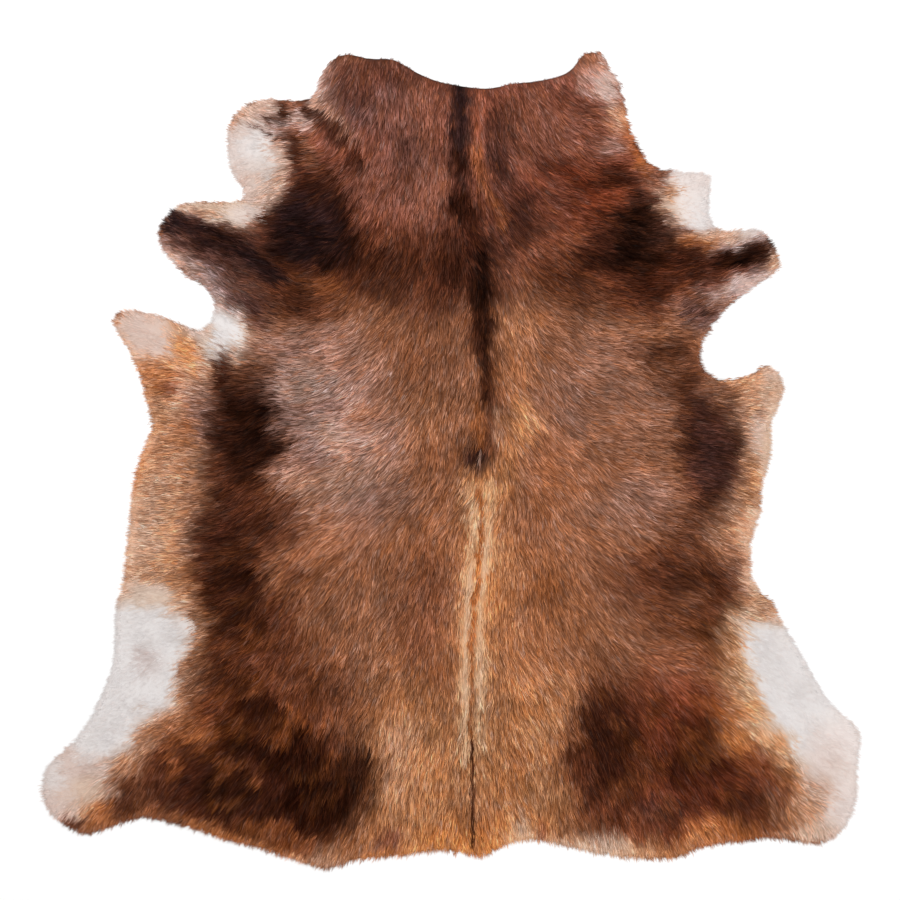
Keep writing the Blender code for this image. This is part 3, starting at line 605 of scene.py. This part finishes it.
# Materials
hairFibre = {"roughness": 0.6, "gloss": 0.0, "ior": 1.55}
felt = {"grainMm": 1.6, "grainDetail": 3.0, "bumpMm": 0.6, "bump": 0.8, "roughness": 0.9, "gloss": 0.15}
fleshSide = {"colour": "#bfa88c", "darker": "#a58c70", "mottleMm": 90.0, "mottleDetail": 6.0, "napMm": 1.2,
             "napDetail": 4.0, "bumpMm": 0.4, "bump": 0.6, "roughness": 0.95, "gloss": 0.1}


def hairMaterial():
    # cow hair, keratin: each strand has its own tone, darker at the root partly as painted shade, and no
    # gloss: its sheen is painted into the strands' tones instead
    material, tree = newMaterial("cow_hair_combed_flat")
    tone = addNode(tree, "ShaderNodeAttribute", {"attribute_name": "coatTone"})
    shader = addNode(tree, "ShaderNodeBsdfPrincipled",
                     inputs={"Roughness": hairFibre["roughness"], "Specular IOR Level": hairFibre["gloss"],
                             "IOR": hairFibre["ior"]},
                     links=[(tone.outputs["Color"], "Base Color")])
    addNode(tree, "ShaderNodeOutputMaterial", links=[(shader.outputs[0], "Surface")])
    return material


def undercoatMaterial():
    # matted down at the foot of the hair: dull and fibrous. The grain is coarser than real, so that it shows
    material, tree = newMaterial("cow_hair_undercoat")
    # the sheets' colour, darkened under darker hair: painted shade between the strands
    tone = addNode(tree, "ShaderNodeAttribute", {"attribute_name": "coatTone"})
    place = addNode(tree, "ShaderNodeTexCoord")
    grain = addNode(tree, "ShaderNodeTexNoise",
                    inputs={"Scale": 1000 / felt["grainMm"] / 2, "Detail": felt["grainDetail"]},
                    links=[(place.outputs["Object"], "Vector")])
    bump = addNode(tree, "ShaderNodeBump",
                   inputs={"Strength": felt["bump"], "Distance": felt["bumpMm"] / 1000},
                   links=[(grain.outputs["Fac"], "Height")])
    shader = addNode(tree, "ShaderNodeBsdfPrincipled",
                     inputs={"Roughness": felt["roughness"], "Specular IOR Level": felt["gloss"]},
                     links=[(tone.outputs["Color"], "Base Color"), (bump.outputs[0], "Normal")])
    addNode(tree, "ShaderNodeOutputMaterial", links=[(shader.outputs[0], "Surface")])
    return material


def fleshSideMaterial():
    # chrome-tanned hide, split and buffed on the flesh side: pale, dry nap like suede
    material, tree = newMaterial("tanned_hide_flesh_side")
    place = addNode(tree, "ShaderNodeTexCoord")
    mottle = addNode(tree, "ShaderNodeTexNoise",
                     inputs={"Scale": 1000 / fleshSide["mottleMm"], "Detail": fleshSide["mottleDetail"]},
                     links=[(place.outputs["Object"], "Vector")])
    nap = addNode(tree, "ShaderNodeTexNoise",
                  inputs={"Scale": 1000 / fleshSide["napMm"] / 2, "Detail": fleshSide["napDetail"]},
                  links=[(place.outputs["Object"], "Vector")])
    blend = addNode(tree, "ShaderNodeMix", {"data_type": "RGBA"}, links=[(mottle.outputs["Fac"], 0)])
    blend.inputs[6].default_value = (*linearColour(fleshSide["darker"]), 1)
    blend.inputs[7].default_value = (*linearColour(fleshSide["colour"]), 1)
    bump = addNode(tree, "ShaderNodeBump",
                   inputs={"Strength": fleshSide["bump"], "Distance": fleshSide["bumpMm"] / 1000},
                   links=[(nap.outputs["Fac"], "Height")])
    shader = addNode(tree, "ShaderNodeBsdfPrincipled",
                     inputs={"Roughness": fleshSide["roughness"], "Specular IOR Level": fleshSide["gloss"]},
                     links=[(blend.outputs[2], "Base Color"), (bump.outputs[0], "Normal")])
    addNode(tree, "ShaderNodeOutputMaterial", links=[(shader.outputs[0], "Surface")])
    return material


# The tanned skin: one sheet, lying on the floor, a little inside the tips of the hair. Its hair side takes
# the coat's colour darkened under darker hair: painted shade in the gaps between strands and at cut edges
skin = {"thickness": 0.0022, "rimRounds": 8, "inset": 0.002, "hairInset": 0.008, "flowRange": (-0.1, 0.5),
        "band": 0.035, "grid": 0.03, "gridInset": 0.026, "paintedShadeShare": 0.4}


def coatOver(solid, x, y):
    # the depth of the coat above the skin
    return readMap(solid, "top", x, y) - readMap(solid, "under", x, y) - skin["thickness"]


def sheetPlaces(sheet):
    return np.array([vert.co.x for vert in sheet.verts]), np.array([vert.co.y for vert in sheet.verts])


def skinSheet(solid):
    sheet = solid["mesh"].copy()
    sheet.normal_update()
    bmesh.ops.delete(sheet, geom=[face for face in sheet.faces if not facesDown(face)], context="FACES")
    for step in range(skin["rimRounds"]):
        moved = {}
        for vert in sheet.verts:
            rim = [edge.other_vert(vert).co for edge in vert.link_edges if edge.is_boundary]
            if len(rim) == 2:
                moved[vert] = (vert.co * 2 + rim[0] + rim[1]) / 4
        for vert, place in moved.items():
            vert.co = place
    sheet.verts.index_update()
    insetRim(sheet, solid, skin["inset"], skin["hairInset"])
    return refill(sheet, solid)


def insetRim(sheet, solid, distance, more):
    # draws the sheet in from the rim, and by more where the hair flows out over it
    x, y = sheetPlaces(sheet)
    outX, outY = wayOut(solid, x, y)
    angle = hairAngle(x, y)
    outward = np.cos(angle) * outX + np.sin(angle) * outY
    fade = np.clip(1 - readMap(solid, "reach", x, y) / skin["band"], 0, 1)
    fade[[vert.index for vert in sheet.verts if vert.is_boundary]] = 1
    shift = fade * (distance + more * softStep(*skin["flowRange"], outward))
    for vert, moveX, moveY in zip(sheet.verts, shift * outX, shift * outY):
        vert.co.x -= moveX
        vert.co.y -= moveY


def refill(sheet, solid):
    # lays fresh faces between the rim and a grid of places inside it, so that none folds over. It is made
    # this way because a fill by operators left many slivers, and dark ticks came with it in the white hair
    rim = [vert for vert in sheet.verts if vert.is_boundary]
    number = {vert.index: i for i, vert in enumerate(rim)}
    edges = [tuple(number[vert.index] for vert in edge.verts) for edge in sheet.edges if edge.is_boundary]
    innerX, innerY = gridPlaces(skin["grid"])
    inner = readMap(solid, "reach", innerX, innerY) > skin["gridInset"]
    innerX, innerY = innerX[inner], innerY[inner]
    heights = [vert.co.z for vert in rim] + list(readMap(solid, "under", innerX, innerY))
    points = [vert.co.xy for vert in rim] + [Vector(place) for place in zip(innerX, innerY)]
    places, _, faces, sources, _, _ = delaunay_2d_cdt(points, edges, [], 1, 1e-6)  # 1 keeps what lies inside
    sheet.free()
    fresh = bmesh.new()
    verts = [fresh.verts.new((place.x, place.y, heights[source[0]] if source else 0))
             for place, source in zip(places, sources)]
    for face in faces:
        fresh.faces.new([verts[i] for i in reversed(face)])
    fresh.verts.index_update()
    return fresh


def thicken(sheet, lifts):
    # stands a second face on the sheet, lifts above it, and closes the rim between them
    layer = sheet.verts.layers.float.new("lift")
    for vert, lift in zip(sheet.verts, lifts):
        vert[layer] = lift
    made = bmesh.ops.extrude_face_region(sheet, geom=sheet.faces[:], use_keep_orig=True)
    for vert in [g for g in made["geom"] if isinstance(g, bmesh.types.BMVert)]:
        vert.co.z += vert[layer]
    sheet.verts.layers.float.remove(layer)
    bmesh.ops.recalc_face_normals(sheet, faces=sheet.faces[:])


def setTone(mesh, tone):
    layer = mesh.color_attributes.new("coatTone", "FLOAT_COLOR", "POINT")
    layer.data.foreach_set("color", np.column_stack([tone, np.ones(len(tone))]).astype(np.float32).ravel())


def finishSheet(sheet, name, paintedShadeShare):
    # the coat's own colour under white hair, and a darker share of it under darker hair: painted shade,
    # where the gaps between strands fall dark
    mesh = bpy.data.meshes.new(name)
    sheet.to_mesh(mesh)
    sheet.free()
    mesh.shade_smooth()
    places = np.empty(3 * len(mesh.vertices))
    mesh.vertices.foreach_get("co", places)
    colour = coatColour(places[0::3], places[1::3])
    setTone(mesh, colour * (1 + (paintedShadeShare - 1) * calmness(colour))[:, None])
    return mesh


def makeSkin(flatSkin, fleshMaterial, hairSideMaterial):
    sheet = flatSkin.copy()
    thicken(sheet, np.full(len(sheet.verts), skin["thickness"]))
    for face in sheet.faces:
        face.material_index = 0 if facesDown(face) else 1
    mesh = finishSheet(sheet, "tanned_skin", skin["paintedShadeShare"])
    piece = addPiece("tanned_skin", mesh, fleshMaterial)
    mesh.materials.append(hairSideMaterial)
    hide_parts("cowhide")
    return piece


# The undercoat: a soft lumpy layer that fills the lower half of the coat, and nearly all of it under white.
# Under darker hair its colour is darkened: painted shade deep in the coat
undercoat = {"share": 0.5, "whiteShare": 0.88, "lump": 0.2, "lumpMm": 40.0, "cuts": 1, "inset": 0.002,
             "sink": 0.0003, "least": 0.0006, "paintedShadeShare": 0.68}


def makeUndercoat(flatSkin, solid, material):
    layer = flatSkin.copy()
    insetRim(layer, solid, undercoat["inset"], 0)
    layer = refill(layer, solid)
    bmesh.ops.subdivide_edges(layer, edges=layer.edges[:], cuts=undercoat["cuts"], use_grid_fill=True)
    x, y = sheetPlaces(layer)
    lump = valueNoise(x * 1000, y * 1000, undercoat["lumpMm"], "lump")
    white = 1 - calmness(coatColour(x, y))
    share = undercoat["share"] + (undercoat["whiteShare"] - undercoat["share"]) * white
    for vert in layer.verts:
        vert.co.z += skin["thickness"] - undercoat["sink"]
    depth = coatOver(solid, x, y) * share * (1 + undercoat["lump"] * lump)
    thicken(layer, np.maximum(undercoat["least"], depth))
    return addPiece("undercoat", finishSheet(layer, "undercoat", undercoat["paintedShadeShare"]), material)


# The hair: strands in locks, each strand a thin blade bent at its middle, with a point at both ends.
# A strand is as wide as a dozen real hairs or more, so that it shows from a step away.
# The ground hair fills the depth, the guard hair lies over it, and the rim hair fringes the edge
# tone darkens a strand's root and lightens its tip: partly the hair's own colour, partly painted shade deep
# in the coat, so the ground hair is darker all along
lowerHair = {"name": "ground_hair", "pieces": 2, "spacing": 0.0076, "strands": 4, "seed": 41, "band": 0,
             "length": (0.017, 0.025), "width": (0.0016, 0.0022), "rootRise": 0.05, "tipRise": 0.75,
             "spread": 0.0026, "gather": 0.7, "tone": (-0.6, -0.25, -0.1), "lockTone": 0.10,
             "strandTone": 0.14, "pastRim": (-0.009, -0.003, 0.002)}
upperHair = {"name": "guard_hair", "pieces": 3, "spacing": 0.0082, "strands": 5, "seed": 57, "band": 0,
             "length": (0.024, 0.038), "width": (0.0012, 0.0018), "rootRise": 0.35, "tipRise": 1.02,
             "spread": 0.0032, "gather": 0.65, "tone": (-0.42, 0.03, 0.26), "lockTone": 0.07,
             "strandTone": 0.34, "pastRim": (-0.008, -0.001, 0.005)}
rimHair = {"name": "rim_hair", "pieces": 1, "spacing": 0.0045, "strands": 3, "seed": 71, "band": 0.018,
           "length": (0.022, 0.034), "width": (0.0008, 0.0013), "rootRise": 0.2, "tipRise": 0.8,
           "spread": 0.0030, "gather": 1.3, "tone": (-0.3, 0.0, 0.2), "lockTone": 0.14,
           "strandTone": 0.25, "pastRim": (-0.004, 0.002, 0.014)}
# How locks and their strands lie: places in metres, turns in degrees, the rest shares
lockLie = {"jitter": 0.48, "fromRim": 0.003, "moreOutward": 0.005, "turn": 6, "along": 0.006,
           "rootInset": 0.001, "rootCut": 0.003, "mostMove": 0.012, "pastSkin": 0.0025, "backStep": 0.15,
           "strandTurn": 0.0008, "run": (0.82, 1.12), "fan": 0.35, "fanBand": 0.035, "fanRange": (-0.4, 0.2),
           "bend": 0.55, "midRise": 0.72, "lockLift": 0.07, "strandLift": 0.04, "whiteLift": 0.2,
           "rollDegrees": 26.0, "whiteRoll": 0.1, "sway": 0.0012, "lowest": 0.0012}
coatDepth = {"least": 0.55, "full": 0.018, "lengths": (0.6, 1.15)}  # hair is shorter where the coat is thin
# How far a strand's colour may leave the coat's own. Lighter strands are paled toward white and blue:
# painted sheen
hairLook = {"toneGain": 1.26, "streak": 0.24, "streakPixels": 2.6, "warmth": 0.18, "mostWarmth": 0.6,
            "fleck": 0.25, "fleckPixels": 20, "fleckRange": (0.02, 0.09), "slip": 0.010, "slipBand": 0.03,
            "darker": (0.9, 1.08, 1.18), "sheenPaler": (-0.10, 0.07, 0.27), "sheenPalerRange": (0.02, 0.10),
            "brightest": 0.9}


def scatterLocks(solid, kind, rng):
    spacing, band, jitter = kind["spacing"], kind["band"], lockLie["jitter"]
    x, y = [line + rng.uniform(-jitter, jitter, line.size) * spacing for line in gridPlaces(spacing)]
    reach = readMap(solid, "reach", x, y)
    outX, outY = wayOut(solid, x, y)
    angle = hairAngle(x, y)
    outward = np.cos(angle) * outX + np.sin(angle) * outY
    inside = reach > lockLie["fromRim"] + lockLie["moreOutward"] * np.clip(outward, -0.9, 0.8)
    if band:
        inside &= (reach < band) & (outward > -0.1)
    return x[inside], y[inside], angle[inside], reach[inside], outward[inside]


def streakTone(x, y, angle, name):
    # a noise drawn out along the hair
    u, v = toPhoto(x, y)
    grain = hairLook["streakPixels"]
    total = np.zeros(len(u))
    for step in range(-3, 4):
        stepU, stepV = step * grain * np.cos(angle), step * grain * np.sin(angle)
        total += valueNoise(u + stepU, v - stepV, grain, name)
    return total / 2.6  # brings seven added noises back to about -1 to 1


def strandColours(x, y, angle, reach, lock, kind, rng):
    # each strand's colour, tone and calmness, read a little along the hair: patches fray the way it lies
    count = lock[-1] + 1
    slip = np.clip(streakTone(x, y, angle, "slip"), -1, 1) + rng.uniform(-0.5, 0.5, count)[lock]
    slip *= hairLook["slip"] * softStep(0, hairLook["slipBand"], reach)
    colour = coatColour(x + slip * np.cos(angle), y + slip * np.sin(angle))
    calm = calmness(colour)
    tone = kind["lockTone"] * rng.normal(0, 1, count)[lock]
    # the streaks are the locks' own random tone and partly painted light and shade of the tufts and the
    # valleys between them
    tone += hairLook["streak"] * streakTone(x, y, angle, "streak")

    # brown flecks in the dark zones, drawn out along the hair
    u, v = toPhoto(x, y)
    zone = valueNoise(u, v, hairLook["fleckPixels"], "fleckZone")
    fleck = np.clip(streakTone(x, y, angle, "fleck") + 0.5 * zone, 0, 1)
    fleck *= hairLook["fleck"] * (1 - softStep(*hairLook["fleckRange"], brightness(colour)))
    colour += (linearColour(coatColours["umber"]) - colour) * fleck[:, None]

    # some locks lean to ginger and some to ash
    warm, ash = linearColour(coatColours["ginger"]), linearColour(coatColours["sheenAshPale"])
    lean = hairLook["warmth"] * rng.normal(0, 1, count)[lock] * calm
    grey = colour.mean(axis=1, keepdims=True)
    aim = grey * np.where(lean[:, None] > 0, warm / warm.mean(), ash / ash.mean())
    colour += (aim - colour) * np.clip(abs(lean), 0, hairLook["mostWarmth"])[:, None]
    return colour, tone, calm


def coatHeight(solid, x, y, rise):
    # rise is 0 on the skin and 1 at the top of the coat
    low = readMap(solid, "under", x, y)
    full = np.maximum(coatOver(solid, x, y), 0)
    return np.maximum(low + skin["thickness"] * (full > 0) + full * rise, lockLie["lowest"])


def growHair(solid, kind, material):
    rng = np.random.default_rng(kind["seed"])
    x, y, angle, reach, outward = scatterLocks(solid, kind, rng)
    count = len(x)
    # the hair fans out over the rim
    angle = angle + np.radians(rng.normal(0, lockLie["turn"], count))
    fan = 1 - softStep(0.0, lockLie["fanBand"], reach)
    fan *= lockLie["fan"] * softStep(*lockLie["fanRange"], outward)
    outX, outY = wayOut(solid, x, y)
    angle = np.arctan2(np.sin(angle) + fan * outY, np.cos(angle) + fan * outX)

    # one row for each strand
    lock = np.repeat(np.arange(count), kind["strands"])
    total = len(lock)
    length = rng.uniform(*kind["length"], count)
    length *= np.clip(coatDepth["least"] + coatOver(solid, x, y) / coatDepth["full"], *coatDepth["lengths"])
    across = rng.normal(0, kind["spread"], total)
    along = rng.uniform(-lockLie["along"], lockLie["along"], total)
    c, s = np.cos(angle[lock]), np.sin(angle[lock])
    rootX = x[lock] + along * c - across * s
    rootY = y[lock] + along * s + across * c
    # roots stay on the skin, or just past its edge where the hair starts at the cut
    inset = lockLie["rootInset"] - lockLie["rootCut"] * np.clip(-outward, 0, 1)[lock]
    for attempt in range(3):
        onSkin = readMap(solid, "reach", rootX, rootY)
        outside = np.clip(inset - onSkin, 0, lockLie["mostMove"])
        moveX, moveY = wayOut(solid, rootX, rootY)
        rootX, rootY = rootX - outside * moveX, rootY - outside * moveY
    colour, tone, calm = strandColours(rootX, rootY, angle[lock], onSkin, lock, kind, rng)

    # a strand that would reach too far past the rim is rooted further in
    gather = across * (kind["gather"] - 1) + rng.normal(0, lockLie["strandTurn"], total)
    aim = angle[lock] + np.arctan2(gather, length[lock])
    run = length[lock] * rng.uniform(*lockLie["run"], total)
    limit = rng.triangular(*kind["pastRim"], total)
    for attempt in range(8):
        tipX, tipY = rootX + run * np.cos(aim), rootY + run * np.sin(aim)
        back = np.where(readMap(solid, "rim", tipX, tipY) < -limit, lockLie["backStep"] * run, 0)
        rootX, rootY = rootX - back * np.cos(aim), rootY - back * np.sin(aim)
    tipX, tipY = rootX + run * np.cos(aim), rootY + run * np.sin(aim)
    # at a narrow tip a root can leave the skin, and such a strand is left out
    rooted = readMap(solid, "reach", rootX, rootY) > -lockLie["pastSkin"]
    sway = rng.normal(0, lockLie["sway"], count)[lock] + rng.normal(0, lockLie["sway"] / 3, total)
    midX = rootX + lockLie["bend"] * run * np.cos(aim) - sway * np.sin(aim)
    midY = rootY + lockLie["bend"] * run * np.sin(aim) + sway * np.cos(aim)

    lift = rng.normal(0, lockLie["lockLift"], count)[lock] + rng.normal(0, lockLie["strandLift"], total)
    lift = 1 + lift * (lockLie["whiteLift"] + (1 - lockLie["whiteLift"]) * calm)  # white hair lies flatter
    midRise = kind["rootRise"] + lockLie["midRise"] * (kind["tipRise"] - kind["rootRise"])
    rootZ = coatHeight(solid, rootX, rootY, kind["rootRise"])
    midZ = coatHeight(solid, midX, midY, midRise * lift)
    tipZ = coatHeight(solid, tipX, tipY, kind["tipRise"] * lift)

    width = rng.uniform(*kind["width"], total)
    roll = rng.uniform(-lockLie["rollDegrees"], lockLie["rollDegrees"], total)
    roll = np.radians(roll) * (lockLie["whiteRoll"] + (1 - lockLie["whiteRoll"]) * calm)
    sideX, sideY, sideZ = -np.sin(aim) * np.cos(roll), np.cos(aim) * np.cos(roll), np.sin(roll)
    verts = np.empty((total, 4, 3))
    for slot, (px, py, pz, half) in enumerate(((rootX, rootY, rootZ, 0.0), (midX, midY, midZ, -0.5),
                                               (midX, midY, midZ, 0.5), (tipX, tipY, tipZ, 0.0))):
        verts[:, slot, 0] = px + sideX * width * half
        verts[:, slot, 1] = py + sideY * width * half
        verts[:, slot, 2] = np.maximum(pz + sideZ * width * half, lockLie["lowest"] * 0.5)
    tone += kind["strandTone"] * np.clip(rng.normal(0, 1, total), -2, 2)
    tones = strandTones(colour, tone * calm, calm, kind["tone"])

    pieces = []
    share = rng.integers(0, kind["pieces"], count)[lock]
    for number in range(kind["pieces"]):
        chosen = np.flatnonzero((share == number) & rooted)
        name = f"{kind['name']}_{number + 1}"
        pieces.append(bladeMesh(name, verts[chosen], tones[chosen], material))
        print(name, len(chosen), "strands", 2 * len(chosen), "triangles")
    return pieces


def strandTones(colour, tone, calm, shares):
    # a colour for each corner of a blade. A darker strand is redder too, and a lighter one is paled toward
    # white: painted sheen
    fade = calm[:, None]
    level = (1 + (hairLook["toneGain"] - 1) * fade) * colour
    sheenPaler = softStep(*hairLook["sheenPalerRange"], brightness(colour))[:, None] * np.array(hairLook["sheenPaler"])
    # the root shares are partly the hair's own darker foot and partly painted shade deep in the coat
    rootShare, midShare, tipShare = shares
    tones = []
    for share in (rootShare, midShare, midShare, tipShare):
        change = tone[:, None] + share * fade
        tones.append(level * np.exp(change * np.where(change < 0, hairLook["darker"], 1 + sheenPaler)))
    return np.clip(np.stack(tones, axis=1), 0, hairLook["brightest"])


def bladeMesh(name, verts, tones, material):
    # strands sorted by place, so that each has its own small cell of the map among its neighbours
    side = math.ceil(math.sqrt(len(verts)))
    order = np.argsort(verts[:, 1, 1])
    rows = [row[np.argsort(verts[row, 1, 0])] for row in np.array_split(order, side)]
    order = np.concatenate(rows)
    cellX = np.concatenate([np.arange(len(row)) for row in rows])
    cellY = np.concatenate([np.full(len(row), i) for i, row in enumerate(rows)])
    verts, tones = verts[order], tones[order]
    count = len(verts)
    # four corners and two triangles a strand
    mesh = bpy.data.meshes.new(name)
    mesh.vertices.add(4 * count)
    mesh.vertices.foreach_set("co", verts.astype(np.float32).ravel())
    corners = (np.arange(count)[:, None] * 4 + np.array([0, 1, 2, 2, 1, 3])).ravel()
    mesh.loops.add(len(corners))
    mesh.loops.foreach_set("vertex_index", corners.astype(np.int32))
    starts = (np.arange(count)[:, None] * 6 + np.array([0, 3])).ravel()
    mesh.polygons.add(len(starts))
    mesh.polygons.foreach_set("loop_start", starts.astype(np.int32))
    mesh.update(calc_edges=True)
    mesh.shade_smooth()
    setTone(mesh, tones.reshape(-1, 3))
    cell = 1 / (side + 1)
    localU = np.array([0.5, 0.9, 0.1, 0.1, 0.9, 0.5])
    localV = np.array([0.1, 0.5, 0.5, 0.5, 0.5, 0.9])
    uv = np.stack([(cellX[:, None] + localU) * cell, (cellY[:, None] + localV) * cell], axis=2)
    layer = mesh.uv_layers.new(name="OFBake")
    layer.data.foreach_set("uv", uv.astype(np.float32).ravel())
    return addPiece(name, mesh, material)


# The stage: a pale floor, soft light from above and the photo's view
paper = {"size": 14.0, "colour": "#fbfbfb", "roughness": 0.9, "gloss": 0.1}
lamps = {"key": {"place": (-1.6, 2.6, 3.0), "power": 70.0, "size": 2.0},
         "fill": {"place": (2.6, -1.4, 2.6), "power": 25.0, "size": 2.4}}
view = {"sky": 0.8, "cameraHeight": 6.0}


def makeFloor():
    floor = bmesh.new()
    bmesh.ops.create_grid(floor, x_segments=2, y_segments=2, size=paper["size"] / 2)
    mesh = bpy.data.meshes.new("floor")
    floor.to_mesh(mesh)
    floor.free()
    material, tree = newMaterial("matt_white_floor")  # a paper sweep, as for a catalogue picture
    shader = addNode(tree, "ShaderNodeBsdfPrincipled",
                     inputs={"Base Color": (*linearColour(paper["colour"]), 1),
                             "Roughness": paper["roughness"], "Specular IOR Level": paper["gloss"]})
    addNode(tree, "ShaderNodeOutputMaterial", links=[(shader.outputs[0], "Surface")])
    mesh.materials.append(material)
    piece = addObject("floor", mesh)


def addLamp(name, size, power, place):
    lamp = bpy.data.lights.new(name, "AREA")
    lamp.energy, lamp.shape, lamp.size = power, "DISK", size
    holder = addObject(name, lamp)
    holder.location = place
    holder.rotation_euler = (-Vector(place)).to_track_quat("-Z", "Y").to_euler()


def setStage():
    scene = bpy.context.scene
    makeFloor()
    world = bpy.data.worlds.new("studio")
    world.use_nodes = True
    sky = world.node_tree.nodes["Background"]
    sky.inputs["Color"].default_value = (1, 1, 1, 1)
    sky.inputs["Strength"].default_value = view["sky"]
    scene.world = world
    for name, lamp in lamps.items():
        addLamp(name, **lamp)
    scene.view_settings.view_transform = "Standard"
    # the camera looks straight down on the middle of the photo's frame
    camera = bpy.data.cameras.new("camera")
    scale, half = photoGuide["mmPerPixel"] / 1000, photoGuide["frameWidth"] / 2
    camera.lens = camera.sensor_width * view["cameraHeight"] / (photoGuide["frameWidth"] * scale)
    scene.camera = addObject("camera", camera)
    scene.camera.location = ((half - photoGuide["originX"]) * scale, (photoGuide["originY"] - half) * scale,
                             view["cameraHeight"])


print("reading the solid")
solid = readSolid(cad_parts["cowhide"])
flatSkin = skinSheet(solid)
skinArea = sum(face.calc_area() for face in flatSkin.faces)
print("skin and undercoat")
matted = undercoatMaterial()
skinPiece = makeSkin(flatSkin, fleshSideMaterial(), matted)
undercoatPiece = makeUndercoat(flatSkin, solid, matted)
print("hair")
hair = hairMaterial()
hairPieces = [piece for kind in (lowerHair, upperHair, rimHair) for piece in growHair(solid, kind, hair)]
print("stage, light and camera")
setStage()
